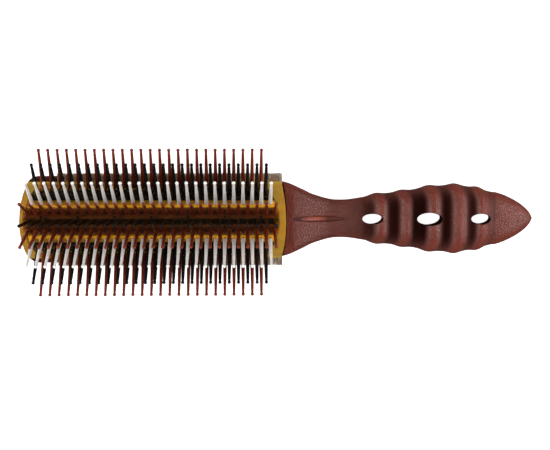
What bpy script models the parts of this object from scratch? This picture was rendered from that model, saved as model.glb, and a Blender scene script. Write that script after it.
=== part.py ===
"""Half-round styling brush: a moulded handle whose tray carries a hollow arched barrel.

Run with: blender --background --python part.py

Frame: +X runs from the nose of the brush to the tip of its handle, +Z is the side with the pins,
and z = 0 is the flat underside that the brush lies on. Lengths are in metres.

The pieces, from the bottom up:
  handle           one moulding: ribbed grip, waisted neck and the tray under the head
  barrel_core      hollow ribbed beam whose root key drops into the tray's channel
  nose_plate       plate that closes the core's cells at the nose
  tail_plate       the same at the handle end
  pin_strip_N      nine strips of pins lying side by side on the core's roof
  barrel_shell     arched cover with a hole for each pin and a thick rim along both sides
  bristle_rail_S   two rails clamped between the shell's rims and the tray
  bristle_pack_S   the short bristles that each rail holds
"""

import math

import bmesh
import bpy
from mathutils import Matrix

MM = 0.001

# Whole brush
HALF_LENGTH = 120.0 * MM
FIT_GAP = 0.3 * MM

# Barrel section, drawn around the axis on which every pin points
AXIS_Z = 6.9 * MM
ROW_COUNT = 9
ROW_STEP = math.radians(13.75)
SHELL_OUTER = 19.2 * MM
SHELL_INNER = 17.2 * MM
BAR_OUTER = SHELL_INNER - FIT_GAP
BAR_INNER = 15.7 * MM
CORE_ROOF = BAR_INNER - FIT_GAP
CELL_ROOF = 13.6 * MM
RIM_RADIUS = 3.05 * MM
RIM_CENTRE_Y = 14.9 * MM
RIM_BOTTOM = 10.75 * MM
LEDGE_DROP = 1.0 * MM
KEY_HALF_WIDTH = 13.8 * MM
CHANNEL_FLOOR = 5.3 * MM
WEB = 1.5 * MM
LEANING_WEB_Z = 14.0 * MM
LEANING_WEB_ANGLE = math.radians(-35)

# Barrel length, with both ends bowed outwards in plan
NOSE_X = -HALF_LENGTH
TAIL_X = 2.1 * MM
NOSE_BOW = 2.4 * MM
TAIL_BOW = 1.8 * MM
BODY_HALF_WIDTH = RIM_CENTRE_Y + RIM_RADIUS
PLATE_THICKNESS = 3.1 * MM

# Pins, listed from the +Y side to the -Y side
PINS_PER_ROW = (25, 26, 27, 28, 28, 28, 27, 26, 25)
ROW_COLOURS = ("red", "black", "white", "red", "black", "red", "white", "black", "red")
PIN_PITCH = 4.2 * MM
ROWS_CENTRE_X = -59.7 * MM
PIN_SIDES = 6
PIN_TIP = 41.0 * MM
FOOT_RADIUS = 1.1 * MM
NECK_RADIUS = 0.5 * MM
BALL_RADIUS = 0.85 * MM
BALL_LENGTH = 1.5 * MM
BAR_WIDTH = 3.45 * MM
BAR_END_MARGIN = 2.0 * MM
PIN_HOLE = 2.8 * MM

# Bristles along both sides
BRISTLE_X0 = -104.5 * MM
BRISTLE_X1 = 0.8 * MM
BRISTLE_TIP_Y = 21.9 * MM
REBATE_FLOOR = 9.3 * MM
REBATE_END = 1.5 * MM
RAIL_OUTER_Y = 16.4 * MM

# Tray
TRAY_NOSE = -119.5 * MM
TRAY_HALF_WIDTH = 20.4 * MM
TRAY_FRONT_HALF = 14.0 * MM
TRAY_CORNER = 6.0 * MM
TRAY_FILLET = 2.2 * MM

# Grip ridges: the valleys across the centreline, and how far they sweep forward at the sides
VALLEYS = tuple(x * MM for x in (40.8, 53.4, 65.7, 78.6, 90.5, 100.6))
RIDGE_SWEEP = 2.2 * MM
RIDGE_HEIGHT = 2.4 * MM
RIDGE_UNDER_HEIGHT = 1.2 * MM
RIDGE_SIDE_HEIGHT = 0.8 * MM
RIDGE_ROUNDNESS = 0.8
TIP_START = 102.0 * MM
TIP_HALF_WIDTH = 12.5 * MM

# Through holes in the grip: centre, length, width
GRIP_HOLES = ((43.5, 9.4, 4.7), (70.4, 11.6, 5.6), (94.9, 9.3, 4.6))

# Sunk lens on the neck
LENS_X = 18.0 * MM
LENS_HALF = (7.0 * MM, 1.15 * MM, 0.6 * MM)
LENS_TILT = math.radians(8.5)
LENS_LIFT = 0.15 * MM

# Cutters run past the solid they cut by about this much, or reach well above or below it
CUT_PAST = 5.0 * MM
WELL_ABOVE = 60.0 * MM
WELL_BELOW = -10.0 * MM
WELL_ASIDE = 26.0 * MM

COLOURS = {
    "brown": ((0.150, 0.040, 0.026), 0.42),
    "amber": ((0.480, 0.205, 0.010), 0.18),
    "red": ((0.190, 0.022, 0.010), 0.30),
    "black": ((0.006, 0.006, 0.007), 0.25),
    "white": ((0.760, 0.730, 0.690), 0.35),
    "bristle": ((0.210, 0.140, 0.095), 0.60),
}

# A section drawn as (across, up) and swept lengthwise: sketch x, y, z become Y, Z, X.
SKETCH_TO_BRUSH = Matrix(((0, 0, 1, 0), (1, 0, 0, 0), (0, 1, 0, 0), (0, 0, 0, 1)))


# ---------------------------------------------------------------- scene helpers

def clear_scene():
    for item in list(bpy.data.objects):
        bpy.data.objects.remove(item, do_unlink=True)


def new_collection(name):
    collection = bpy.data.collections.new(name)
    bpy.context.scene.collection.children.link(collection)
    return collection


def make_material(name):
    colour, roughness = COLOURS[name]
    material = bpy.data.materials.new(name)
    material.use_nodes = True
    shader = material.node_tree.nodes["Principled BSDF"]
    shader.inputs["Base Color"].default_value = (*colour, 1.0)
    shader.inputs["Roughness"].default_value = roughness
    shader.inputs["Metallic"].default_value = 0.0
    return material


def add_mesh(name, bm, collection, material=None):
    """Put a bmesh in a new object, with its faces pointing out."""
    bmesh.ops.recalc_face_normals(bm, faces=bm.faces)
    mesh = bpy.data.meshes.new(name)
    bm.to_mesh(mesh)
    bm.free()
    item = bpy.data.objects.new(name, mesh)
    collection.objects.link(item)
    if material:
        mesh.materials.append(material)
    return item


def hide_tool(item):
    item.hide_render = True
    item.display_type = "WIRE"
    return item


def add_boolean(item, tool, operation):
    modifier = item.modifiers.new(tool.name, "BOOLEAN")
    modifier.operation = operation
    modifier.object = tool
    modifier.solver = "EXACT"


def swept_section(name, outline, x0, x1, collection, material=None):
    """Sweep one closed outline, given as (y, z) points, from x0 to x1."""
    curve = bpy.data.curves.new(name, "CURVE")
    curve.dimensions = "2D"
    curve.fill_mode = "BOTH"
    curve.extrude = (x1 - x0) / 2
    spline = curve.splines.new("POLY")
    spline.points.add(len(outline) - 1)
    for point, (y, z) in zip(spline.points, outline):
        point.co = (y, z, 0.0, 1.0)
    spline.use_cyclic_u = True
    sketch = bpy.data.objects.new(name + "_sketch", curve)
    collection.objects.link(sketch)
    depsgraph = bpy.context.evaluated_depsgraph_get()
    flat = bpy.data.meshes.new_from_object(sketch.evaluated_get(depsgraph))
    bm = bmesh.new()
    bm.from_mesh(flat)
    bmesh.ops.remove_doubles(bm, verts=bm.verts, dist=0.00001)
    bmesh.ops.transform(bm, matrix=SKETCH_TO_BRUSH, verts=bm.verts)
    bmesh.ops.translate(bm, vec=((x0 + x1) / 2, 0, 0), verts=bm.verts)
    bpy.data.objects.remove(sketch, do_unlink=True)
    bpy.data.meshes.remove(flat)
    return add_mesh(name, bm, collection, material)


# ---------------------------------------------------------------- barrel outlines

def roof(apothem):
    """The facets that face each pin row square on, from the +Y side to the -Y side."""
    corner = apothem / math.cos(ROW_STEP / 2)
    points = []
    for i in range(ROW_COUNT + 1):
        angle = (i - ROW_COUNT / 2) * ROW_STEP
        points.append((-corner * math.sin(angle), AXIS_Z + corner * math.cos(angle)))
    return points


def mirrored(points):
    return [(-y, z) for y, z in reversed(points)]


def rim_arc(radius, start, stop, steps):
    """Points round the lower corner of the +Y rim. Angles run from straight down to sideways."""
    points = []
    for i in range(steps + 1):
        angle = math.radians(start + (stop - start) * i / steps)
        y = RIM_CENTRE_Y + radius * math.sin(angle)
        z = RIM_BOTTOM + RIM_RADIUS - radius * math.cos(angle)
        points.append((y, z))
    return points


def shell_outline():
    """The arch, with each side ending in a thick rim whose lower corner is round."""
    lip = KEY_HALF_WIDTH + FIT_GAP
    inner = roof(SHELL_INNER)
    ledge = [(lip, RIM_BOTTOM), (lip, inner[0][1] - LEDGE_DROP)]
    rim = rim_arc(RIM_RADIUS, 0, 105, 5)
    outer = roof(SHELL_OUTER)
    right = ledge[::-1] + rim
    left = mirrored(rim) + mirrored(ledge[::-1])
    return right + outer + left + inner[::-1]


def arched_outline(half, radius, floor):
    """A D standing on its flat side: upright sides up to the arch, then the facets."""
    arch = [p for p in roof(radius) if abs(p[0]) < half]
    spring = AXIS_Z + math.sqrt(radius ** 2 - half ** 2)
    return [(half, floor), (half, spring)] + arch + [(-half, spring), (-half, floor)]


def core_outline():
    """The barrel's inside and the root key under it, as one outline."""
    return arched_outline(KEY_HALF_WIDTH, CORE_ROOF, CHANNEL_FLOOR + FIT_GAP)


def bow(y, depth):
    """How far the barrel's bowed end falls back from its middle at distance y off centre."""
    return depth * (y / BODY_HALF_WIDTH) ** 2


def plan_block(name, collection, grow=0.0):
    """A tall block whose plan is the barrel's: straight sides and two bowed ends."""
    half = WELL_ASIDE
    steps = 12
    nose = []
    tail = []
    for i in range(steps + 1):
        y = half * (1 - 2 * i / steps)
        nose.append((NOSE_X - grow + bow(y, NOSE_BOW), y))
        tail.append((TAIL_X + grow - bow(-y, TAIL_BOW), -y))
    bm = bmesh.new()
    base = [bm.verts.new((x, y, WELL_BELOW)) for x, y in nose + tail]
    face = bm.faces.new(base)
    raised = bmesh.ops.extrude_face_region(bm, geom=[face])["geom"]
    top = [v for v in raised if isinstance(v, bmesh.types.BMVert)]
    bmesh.ops.translate(bm, vec=(0, 0, WELL_ABOVE), verts=top)
    return hide_tool(add_mesh(name, bm, collection))


# ---------------------------------------------------------------- pins

def row_angle(row):
    """Lean of a row from upright, positive towards +Y. Rows count from 0."""
    return ((ROW_COUNT - 1) / 2 - row) * ROW_STEP


def row_positions(row):
    count = PINS_PER_ROW[row]
    first = ROWS_CENTRE_X - PIN_PITCH * (count - 1) / 2
    return [first + PIN_PITCH * i for i in range(count)]


def row_matrix(row):
    """Places things made on the barrel's axis, pointing up, at the lean of a row."""
    return Matrix.Translation((0, 0, AXIS_Z)) @ Matrix.Rotation(-row_angle(row), 4, "X")


def add_box(bm, x0, x1, y0, y1, z0, z1, matrix=Matrix.Identity(4)):
    size = Matrix.Diagonal((x1 - x0, y1 - y0, z1 - z0, 1.0))
    place = Matrix.Translation(((x0 + x1) / 2, (y0 + y1) / 2, (z0 + z1) / 2))
    bmesh.ops.create_cube(bm, size=1.0, matrix=matrix @ place @ size)


def add_pin(bm, x, matrix):
    """One pin: a tapered shank that starts inside its strip and ends in a small ball."""
    root = BAR_OUTER - 0.5 * MM
    profile = (
        (FOOT_RADIUS, root),
        (NECK_RADIUS, PIN_TIP - BALL_LENGTH),
        (BALL_RADIUS, PIN_TIP - BALL_LENGTH / 2),
    )
    rings = []
    for radius, height in profile:
        ring = []
        for i in range(PIN_SIDES):
            turn = 2 * math.pi * i / PIN_SIDES
            point = (x + radius * math.cos(turn), radius * math.sin(turn), height)
            ring.append(bm.verts.new(matrix @ Matrix.Translation(point).translation))
        rings.append(ring)
    bm.faces.new(rings[0])
    for lower, upper in zip(rings, rings[1:]):
        for i in range(PIN_SIDES):
            j = (i + 1) % PIN_SIDES
            bm.faces.new((lower[i], lower[j], upper[j], upper[i]))
    tip = bm.verts.new(matrix @ Matrix.Translation((x, 0, PIN_TIP)).translation)
    for i in range(PIN_SIDES):
        bm.faces.new((rings[-1][i], rings[-1][(i + 1) % PIN_SIDES], tip))


def make_pin_strip(row, parts, tools, material):
    """A flat bar with a row of pins moulded on it."""
    matrix = row_matrix(row)
    xs = row_positions(row)
    pins = bmesh.new()
    for x in xs:
        add_pin(pins, x, matrix)
    pin_tool = hide_tool(add_mesh(f"pins_{row + 1}", pins, tools))
    bar = bmesh.new()
    x0 = xs[0] - BAR_END_MARGIN
    x1 = xs[-1] + BAR_END_MARGIN
    add_box(bar, x0, x1, -BAR_WIDTH / 2, BAR_WIDTH / 2, BAR_INNER, BAR_OUTER, matrix)
    strip = add_mesh(f"pin_strip_{row + 1}", bar, parts, material)
    add_boolean(strip, pin_tool, "UNION")
    return strip


# ---------------------------------------------------------------- barrel pieces

def make_shell(parts, tools, plan, material):
    """The arched cover, bowed at both ends, with a hole over every pin."""
    run = (NOSE_X - CUT_PAST, TAIL_X + CUT_PAST)
    shell = swept_section("barrel_shell", shell_outline(), *run, parts, material)
    add_boolean(shell, plan, "INTERSECT")
    holes = bmesh.new()
    half = PIN_HOLE / 2
    for row in range(ROW_COUNT):
        matrix = row_matrix(row)
        for x in row_positions(row):
            low = BAR_OUTER + 0.05 * MM
            high = SHELL_OUTER + 0.5 * MM
            add_box(holes, x - half, x + half, -half, half, low, high, matrix)
    hole_tool = hide_tool(add_mesh("pin_holes", holes, tools))
    add_boolean(shell, hole_tool, "DIFFERENCE")
    return shell


def make_core(parts, tools, material):
    """Hollow beam under the strips: four lengthwise cells between an upright and a leaning web."""
    x0 = NOSE_X + PLATE_THICKNESS + FIT_GAP
    x1 = TAIL_X - PLATE_THICKNESS - FIT_GAP
    core = swept_section("barrel_core", core_outline(), x0, x1, parts, material)
    cell = arched_outline(KEY_HALF_WIDTH - WEB, CELL_ROOF, CHANNEL_FLOOR + FIT_GAP + WEB)
    hollow = swept_section("core_hollow", cell, x0 - CUT_PAST, x1 + CUT_PAST, tools)
    webs = (
        ("upright_web", Matrix.Identity(4)),
        ("leaning_web", Matrix.Rotation(LEANING_WEB_ANGLE, 4, "X")),
    )
    for name, lean in webs:
        slab = bmesh.new()
        place = Matrix.Translation((0, 0, LEANING_WEB_Z)) @ lean
        run = (x0 - 2 * CUT_PAST, x1 + 2 * CUT_PAST)
        add_box(slab, *run, -WEB / 2, WEB / 2, -WELL_ASIDE, WELL_ASIDE, place)
        add_boolean(hollow, hide_tool(add_mesh(name, slab, tools)), "DIFFERENCE")
    add_boolean(core, hide_tool(hollow), "DIFFERENCE")
    return core


def make_plate(name, x0, x1, parts, plan, material):
    """An end plate with the core's outline; its outer face follows the barrel's bow."""
    plate = swept_section(name, core_outline(), x0, x1, parts, material)
    add_boolean(plate, plan, "INTERSECT")
    return plate


# ---------------------------------------------------------------- bristles

def make_bristle_rail(name, side, parts, material):
    bm = bmesh.new()
    y0 = KEY_HALF_WIDTH + 2 * FIT_GAP
    z0 = REBATE_FLOOR + FIT_GAP
    z1 = RIM_BOTTOM - FIT_GAP
    add_box(bm, BRISTLE_X0, BRISTLE_X1, y0, RAIL_OUTER_Y, z0, z1)
    if side < 0:
        bmesh.ops.scale(bm, vec=(1, -1, 1), verts=bm.verts)
    return add_mesh(name, bm, parts, material)


def make_bristle_pack(name, side, parts, material):
    """The space that the bristles fill: thin at the rail and fanned out at the tips."""
    root = RAIL_OUTER_Y + FIT_GAP
    under = REBATE_FLOOR + FIT_GAP
    tip = BRISTLE_TIP_Y
    outline = [
        (root, under),
        (TRAY_HALF_WIDTH, under),
        (tip, under + 0.6 * MM),
        (tip, 12.8 * MM),
        (19.0 * MM, 12.3 * MM),
        (17.9 * MM, 11.5 * MM),
        (root, 10.8 * MM),
    ]
    if side < 0:
        outline = mirrored(outline)
    return swept_section(name, outline, BRISTLE_X0, BRISTLE_X1, parts, material)


# ---------------------------------------------------------------- handle

def smooth(points, x):
    """A smooth curve through a few (x, value) points, flat beyond both ends."""
    if x <= points[0][0]:
        return points[0][1]
    if x >= points[-1][0]:
        return points[-1][1]
    slopes = [0.0]
    for before, here, after in zip(points, points[1:], points[2:]):
        rise = (after[1] - before[1]) / (after[0] - before[0])
        turns = (here[1] - before[1]) * (after[1] - here[1]) <= 0
        slopes.append(0.0 if turns else rise)
    slopes.append(0.0)
    for i in range(len(points) - 1):
        x0, v0 = points[i]
        x1, v1 = points[i + 1]
        if x <= x1:
            h = x1 - x0
            t = (x - x0) / h
            rise = t * t * (3 - 2 * t)
            leave = t * (1 - t) ** 2
            arrive = -t * t * (1 - t)
            return v0 + (v1 - v0) * rise + h * (slopes[i] * leave + slopes[i + 1] * arrive)
    return points[-1][1]


def in_mm(*pairs):
    return tuple((x * MM, v * MM) for x, v in pairs)


HALF_WIDTH = in_mm((-22, 20.4), (1.7, 17.6), (10.8, 13.9), (15.1, 11.8), (23.7, 9.3),
                   (29.3, 8.95), (39.4, 10.2), (46.8, 11.6), (58.4, 13.0), (71.2, 15.2),
                   (82.8, 15.9), (93.8, 14.3), (102.0, 12.5))
TOP = in_mm((-10, 12.1), (5, 12.1), (10, 11.3), (15, 10.1), (20, 9.2), (26, 8.9), (32, 9.1),
            (40.8, 10.7), (53, 12.0), (66, 12.7), (79, 13.0), (91, 12.6), (102, 11.6))
BOTTOM = in_mm((-4, 0), (29, 1.2), (50, 1.2), (80, 1.2), (102, 2.4))
TOP_FLAT = in_mm((-20, 18.2), (3, 14.0), (29, 3.0), (80, 6.0), (102, 4.0), (120, 0.1))
BOTTOM_FLAT = in_mm((-20, 11.0), (29, 3.0), (80, 5.0), (102, 3.0), (120, 0.1))
SIDE_LOW = in_mm((-20, 7.5), (29, 5.8), (80, 7.2), (120, 6.9))
SIDE_HIGH = in_mm((-20, 9.6), (29, 6.8), (80, 8.2), (120, 7.1))


def ridge(x):
    """Height of the grip's ridges from 0 in a valley to 1 on a crest."""
    for start, stop in zip(VALLEYS, VALLEYS[1:]):
        if start <= x <= stop:
            return abs(math.sin(math.pi * (x - start) / (stop - start))) ** RIDGE_ROUNDNESS
    return 0.0


def tip_run(x):
    """0 up to the start of the pointed tip and 1 at its end."""
    return max(0.0, (x - TIP_START) / (HALF_LENGTH - TIP_START))


def tip_thinning(x):
    """How much of the grip's height above and below its middle is left along the tip."""
    return max(0.12, max(0.0, 1 - tip_run(x) ** 2.2) ** 0.6)


def half_width(x):
    if x < TRAY_NOSE + TRAY_CORNER:
        back = 1 - (x - TRAY_NOSE) / TRAY_CORNER
        spread = TRAY_HALF_WIDTH - TRAY_FRONT_HALF
        return TRAY_FRONT_HALF + spread * math.sqrt(max(0.0, 1 - back * back))
    if x > TIP_START:
        return max(0.6 * MM, TIP_HALF_WIDTH * max(0.0, 1 - tip_run(x) ** 1.5) ** 0.8)
    return smooth(HALF_WIDTH, x)


def nose_lift(x):
    """The fillet under the tray's nose."""
    if x > TRAY_NOSE + TRAY_FILLET:
        return 0.0
    back = 1 - (x - TRAY_NOSE) / TRAY_FILLET
    return TRAY_FILLET * (1 - math.sqrt(max(0.0, 1 - back * back)))


def handle_ring(x):
    """One closed section of the handle: flat top and bottom joined by quarter ellipses."""
    wide = half_width(x)
    scale = min(1.0, wide / smooth(HALF_WIDTH, x))
    top_flat = smooth(TOP_FLAT, x) * scale
    bottom_flat = smooth(BOTTOM_FLAT, x) * scale
    low = smooth(SIDE_LOW, x)
    high = smooth(SIDE_HIGH, x)
    middle = (low + high) / 2
    thin = tip_thinning(x)
    top = middle + (smooth(TOP, x) - middle) * thin
    bottom = middle + (smooth(BOTTOM, x) - middle) * thin + nose_lift(x)
    low = middle + (low - middle) * thin
    high = middle + (high - middle) * thin
    steps = 5
    side = []
    for i in range(steps + 1):
        angle = math.pi / 2 * i / steps
        y = bottom_flat + (wide - bottom_flat) * math.sin(angle)
        side.append((angle, y, low - (low - bottom) * math.cos(angle), -1))
    for i in range(steps + 1):
        angle = math.pi / 2 * (1 - i / steps)
        y = top_flat + (wide - top_flat) * math.sin(angle)
        side.append((angle, y, high + (top - high) * math.cos(angle), 1))
    ring = []
    for angle, y, z, up in side:
        sweep = RIDGE_SWEEP * math.sin(angle) ** 4
        swell = ridge(x + sweep)
        y += RIDGE_SIDE_HEIGHT * swell * math.sin(angle)
        height = RIDGE_HEIGHT if up > 0 else RIDGE_UNDER_HEIGHT
        z += up * height * swell * math.cos(angle)
        ring.append((x, y, z))
    return ring + [(px, -py, pz) for px, py, pz in reversed(ring)]


def handle_stations():
    """Where the handle's sections stand: close together only where it bends."""
    fillet = [TRAY_NOSE + TRAY_FILLET * (1 - math.cos(math.radians(a))) for a in (0, 30, 60)]
    corner = [TRAY_NOSE + d * MM for d in (2.2, 4.0, 6.0)]
    tray = [x * MM for x in (-22, -8, 1.7)]
    neck = [x * MM for x in (6, 10.8, 15.1, 19.5, 24, 29.3, 34, 39.4)]
    grip = []
    for start, stop in zip(VALLEYS, VALLEYS[1:]):
        grip += [start + (stop - start) * i / 5 for i in range(5)]
    tip = [TIP_START + (HALF_LENGTH - TIP_START) * t for t in (0.0, 0.3, 0.55, 0.76, 0.9, 0.97, 1.0)]
    return fillet + corner + tray + neck + grip + tip


def make_handle_blank(parts, material):
    """The handle before cutting: sections joined by quads, with a flat face at each end."""
    bm = bmesh.new()
    rings = []
    for x in handle_stations():
        rings.append([bm.verts.new(point) for point in handle_ring(x)])
    for near, far in zip(rings, rings[1:]):
        for i in range(len(near)):
            j = (i + 1) % len(near)
            bm.faces.new((near[i], near[j], far[j], far[i]))
    bm.faces.new(rings[0])
    bm.faces.new(rings[-1])
    return add_mesh("handle", bm, parts, material)


def pocket_outline():
    """The channel for the root key and the hollow shoulders that hug the shell's rims."""
    half = KEY_HALF_WIDTH + FIT_GAP
    radius = RIM_RADIUS + FIT_GAP
    hollow = rim_arc(radius, 0, 80, 5)
    top = (hollow[-1][0], WELL_ABOVE)
    right = [(half, CHANNEL_FLOOR), (half, hollow[0][1])] + hollow + [top]
    return right + mirrored(right)


def cut_handle(handle, tools):
    pocket = swept_section("pocket", pocket_outline(), NOSE_X - CUT_PAST, TAIL_X + CUT_PAST, tools)
    add_boolean(pocket, plan_block("pocket_plan", tools, grow=3 * FIT_GAP), "INTERSECT")
    add_boolean(handle, hide_tool(pocket), "DIFFERENCE")
    rebates = bmesh.new()
    run = (BRISTLE_X0 - FIT_GAP, REBATE_END)
    inner = KEY_HALF_WIDTH - FIT_GAP
    add_box(rebates, *run, inner, WELL_ASIDE, REBATE_FLOOR, WELL_ABOVE)
    add_box(rebates, *run, -WELL_ASIDE, -inner, REBATE_FLOOR, WELL_ABOVE)
    add_boolean(handle, hide_tool(add_mesh("rebates", rebates, tools)), "DIFFERENCE")
    holes = bmesh.new()
    for x, length, width in GRIP_HOLES:
        shape = Matrix.Translation((x * MM, 0, smooth(SIDE_HIGH, x * MM)))
        shape = shape @ Matrix.Diagonal((length * MM / 2, width * MM / 2, 1.0, 1.0))
        bmesh.ops.create_cone(holes, cap_ends=True, segments=20, radius1=1.0, radius2=1.0,
                              depth=WELL_ABOVE, matrix=shape)
    add_boolean(handle, hide_tool(add_mesh("grip_holes", holes, tools)), "DIFFERENCE")
    lens = bmesh.new()
    middle = Matrix.Translation((LENS_X, 0, smooth(TOP, LENS_X) + LENS_LIFT))
    shape = middle @ Matrix.Rotation(LENS_TILT, 4, "Y") @ Matrix.Diagonal((*LENS_HALF, 1.0))
    bmesh.ops.create_uvsphere(lens, u_segments=12, v_segments=6, radius=1.0, matrix=shape)
    add_boolean(handle, hide_tool(add_mesh("neck_lens", lens, tools)), "DIFFERENCE")


# ---------------------------------------------------------------- assembly

def build_brush():
    clear_scene()
    parts = new_collection("styling_brush")
    tools = new_collection("cutters")
    materials = {name: make_material(name) for name in COLOURS}
    plan = plan_block("barrel_plan", tools)

    amber = materials["amber"]
    handle = make_handle_blank(parts, materials["brown"])
    cut_handle(handle, tools)
    make_core(parts, tools, amber)
    make_plate("nose_plate", NOSE_X - MM, NOSE_X + PLATE_THICKNESS, parts, plan, amber)
    make_plate("tail_plate", TAIL_X - PLATE_THICKNESS, TAIL_X + MM, parts, plan, amber)
    for row, colour in enumerate(ROW_COLOURS):
        make_pin_strip(row, parts, tools, materials[colour])
    make_shell(parts, tools, plan, amber)
    for name, side in (("left", 1), ("right", -1)):
        make_bristle_rail(f"bristle_rail_{name}", side, parts, materials["brown"])
        make_bristle_pack(f"bristle_pack_{name}", side, parts, materials["bristle"])
    tools.hide_render = True


build_brush()
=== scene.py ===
"""Looks of the half-round styling brush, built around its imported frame.

Frame: +X runs from the nose of the brush to the tip of its handle, +Z is the side with the pins, and
the brush lies on z = 0. Lengths are in metres. Places come from the CAD nodes' boxes, or from the
sections below, which follow the CAD's.
"""

import math
import random

import bmesh
import bpy
from mathutils import Matrix, Vector


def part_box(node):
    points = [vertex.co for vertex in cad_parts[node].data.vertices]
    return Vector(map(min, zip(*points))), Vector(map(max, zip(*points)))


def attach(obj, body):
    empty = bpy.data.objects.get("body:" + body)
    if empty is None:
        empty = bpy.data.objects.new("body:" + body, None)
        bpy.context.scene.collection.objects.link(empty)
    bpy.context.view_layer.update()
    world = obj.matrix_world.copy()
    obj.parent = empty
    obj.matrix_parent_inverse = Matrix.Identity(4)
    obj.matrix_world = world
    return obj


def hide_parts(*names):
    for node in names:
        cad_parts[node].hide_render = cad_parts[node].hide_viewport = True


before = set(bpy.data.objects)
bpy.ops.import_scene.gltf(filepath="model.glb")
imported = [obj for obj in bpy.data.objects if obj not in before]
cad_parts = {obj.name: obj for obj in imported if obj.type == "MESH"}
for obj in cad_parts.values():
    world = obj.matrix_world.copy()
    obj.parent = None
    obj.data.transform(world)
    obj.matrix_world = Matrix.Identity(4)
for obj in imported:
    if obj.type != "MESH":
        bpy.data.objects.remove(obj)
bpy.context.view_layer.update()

MM = 0.001
ROOT = "root"
rng = random.Random(11)

# Places read from the frame
NOSE_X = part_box("nose_plate")[0].x
TAIL_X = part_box("tail_plate")[1].x
TIP_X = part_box("handle")[1].x
TRAY_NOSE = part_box("handle")[0].x
TRAY_HALF_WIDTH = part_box("handle")[1].y
PIN_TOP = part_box("pin_strip_5")[1].z
ROWS_CENTRE_X = (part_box("pin_strip_5")[0].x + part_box("pin_strip_5")[1].x) / 2

# Barrel section, drawn around the axis that every pin points away from
AXIS_Z = 6.9 * MM
ROW_COUNT = 9
ROW_STEP = math.radians(13.75)
SHELL_OUTER = 19.2 * MM
SHELL_INNER = 17.2 * MM
BAR_OUTER = 16.9 * MM
BAR_INNER = 15.7 * MM
CORE_ROOF = 15.4 * MM
RIM_RADIUS = 3.05 * MM
RIM_CENTRE_Y = 14.9 * MM
RIM_BOTTOM = 10.75 * MM
KEY_HALF_WIDTH = 13.8 * MM
CHANNEL_FLOOR = 5.3 * MM
LEANING_WEB_Z = 14.0 * MM
WEB_LEAN = 0.7
FIT_GAP = 0.3 * MM
NOSE_BOW = 2.4 * MM
TAIL_BOW = 1.8 * MM
BODY_HALF_WIDTH = RIM_CENTRE_Y + RIM_RADIUS
PLATE_THICKNESS = 3.1 * MM
RIM_STEPS = 14
SHELL_BEVEL = 0.25 * MM
PLATE_BEVEL = 0.2 * MM
END_BEVEL_ANGLE = 50

# Pins
PIN_PITCH = 4.2 * MM
BAR_END_MARGIN = 2.0 * MM
BAR_WIDTHS = tuple(w * MM for w in (2.7, 4.05, 3.4, 1.9, 2.6, 1.9, 3.4, 4.05, 2.7))
PIN_TIP = PIN_TOP - AXIS_Z
ROW_COLOURS = ("red", "black", "white", "red", "black", "red", "white", "black", "red")
PIN_SLOTS = {"red": "red_nylon", "black": "black_nylon", "white": "white_nylon"}
PIN_STOUTNESS = {"red": 1.06, "black": 1.15, "white": 1.0}
PIN_HOLE_RADIUS = 1.22 * MM
COUNTERSINK = 0.12 * MM
VENT_RADIUS = 0.6 * MM
VENT_STEP = 4 * PIN_PITCH
VENTS_PER_SIDE = 7
HOLE_OVERCUT = 0.6 * MM
PIN_SIDES = 14
VENT_SIDES = 14
HOLE_SIDES = 18
BAR_BEVEL = 0.04 * MM

# Bristles. A pair is (smallest, largest), or a height and how far hairs spread above it.
REBATE_FLOOR = 9.3 * MM
REBATE_END = 1.5 * MM
PACK_MARGIN = 0.6 * MM
TUFT_STEP = 1.55 * MM
TUFT_LEAN = 0.25 * MM
HAIRS_PER_TUFT = 52
HAIR_RADII = (0.085 * MM, 0.13 * MM)
HAIR_ROOT_SPREAD = 0.60 * MM
HAIR_TIP_SPREAD = 0.95 * MM
HAIR_TIP_WANDER = 0.12 * MM
HAIR_RISE_WANDER = 0.1 * MM
HAIR_END_GAP = 0.08 * MM
HAIR_SHORTFALL = (0.02 * MM, 0.9 * MM)
HAIR_ROOT_Z = (9.75 * MM, 0.9 * MM)
HAIR_TIP_Z = (10.1 * MM, 2.4 * MM)
HAIR_MIDDLE_RISE = 0.38

# Grip
VALLEYS = tuple(x * MM for x in (40.8, 53.4, 65.7, 78.6, 90.5, 100.6))
RIDGE_SWEEP = 2.2 * MM
RIDGE_HEIGHT = 2.35 * MM
RIDGE_UNDER_HEIGHT = 1.2 * MM
RIDGE_SIDE_HEIGHT = 0.8 * MM
TIP_START = 102.0 * MM
TIP_HALF_WIDTH = 12.5 * MM
GRIP_HOLES = tuple((x * MM, length / 2 * MM, width / 2 * MM) for x, length, width in (
    (43.5, 9.4, 4.7), (70.4, 11.6, 5.6), (94.9, 9.3, 4.6),
))
HOLE_MIDDLE_Z = 10.0 * MM
HOLE_TOOL_REACH = 12 * MM
HOLE_FLARE_RUN = 6.5 * MM
HOLE_FLARE = 0.6 * MM
HOLE_FLARE_BELOW = 0.5 * MM
LENS_X = 18.0 * MM
LENS_HALF = (14.0 * MM, 1.5 * MM, 1.15 * MM)
TRAY_FRONT_HALF = 14.0 * MM
TRAY_CORNER = 6.0 * MM
TRAY_FILLET = 2.2 * MM
TRAY_PLAIN_END = -22 * MM
HANDLE_STATION_STEP = 0.45 * MM
RING_CORNER_STEPS = 22
RING_FLAT_STEPS = 14
SMOOTH_BELOW = math.radians(35)


# ---------------------------------------------------------------- mesh helpers

def finish_mesh(mesh):
    mesh.shade_smooth()
    mesh.set_sharp_from_angle(angle=SMOOTH_BELOW)


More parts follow.
